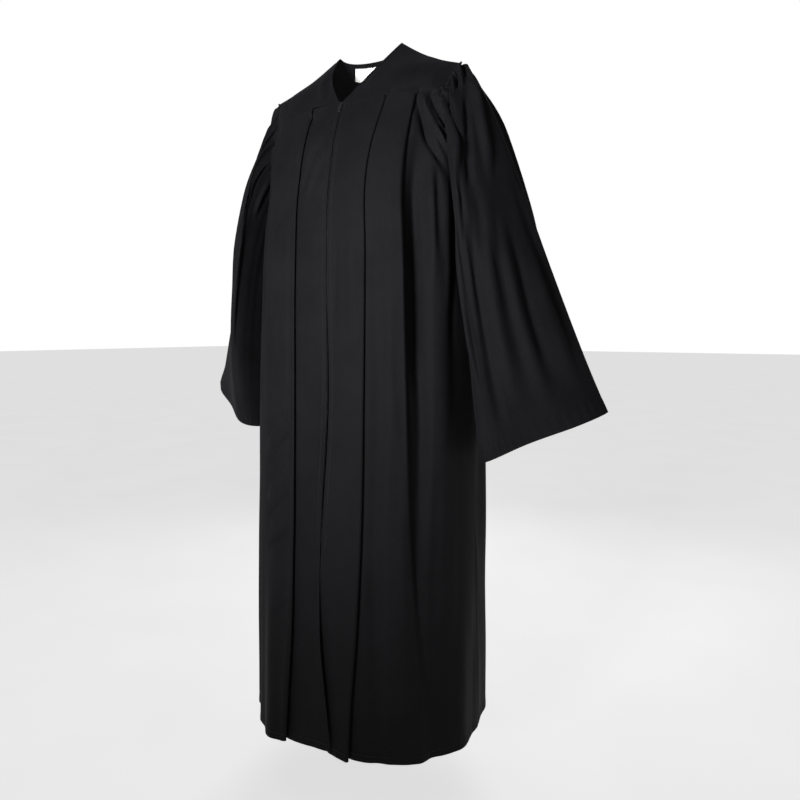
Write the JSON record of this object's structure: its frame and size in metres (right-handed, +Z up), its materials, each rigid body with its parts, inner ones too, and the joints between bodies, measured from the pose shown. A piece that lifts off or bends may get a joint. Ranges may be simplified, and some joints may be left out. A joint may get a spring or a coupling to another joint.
{
  "type": "choir robe",
  "caption": "Full length black choir robe with a V neck, yokes, a front zip, front pleats and wide bell sleeves, in the hollow form of its wearer.",
  "frame": {"origin": "the middle of the line between the two points where the shoulder seams meet the neck, where the wearer's shoulders hold the robe up", "axes": "+Z up, the front of the robe faces -Y, and the wearer's left is +X"},
  "size_m": [0.9114, 0.4572, 1.3038],
  "materials": {
    "cloth": "matte woven polyester, near black",
    "zip_tape": "woven tape, black",
    "zip_metal": "black enamel, satin",
    "label": "woven satin, off white, blank"
  },
  "bodies": {
    "robe": {"back": "cloth", "front_left": "cloth", "front_right": "cloth", "sleeve_left": "cloth", "sleeve_right": "cloth", "yoke_back": "cloth", "yoke_front_left": "cloth", "yoke_front_right": "cloth", "zip_tape_left": "zip_tape", "zip_tape_right": "zip_tape", "zip_slider": "zip_metal", "label": "label"},
    "zip_pull": {"zip_pull": "zip_metal"}
  },
  "joints": [
    {"name": "pull_tab_hinge", "type": "hinge", "parent": "robe", "child": "zip_pull", "pos_m": [0.002, -0.09184, -0.12339], "axis": [-1, 0, 0], "range_deg": [0, 165]}
  ]
}
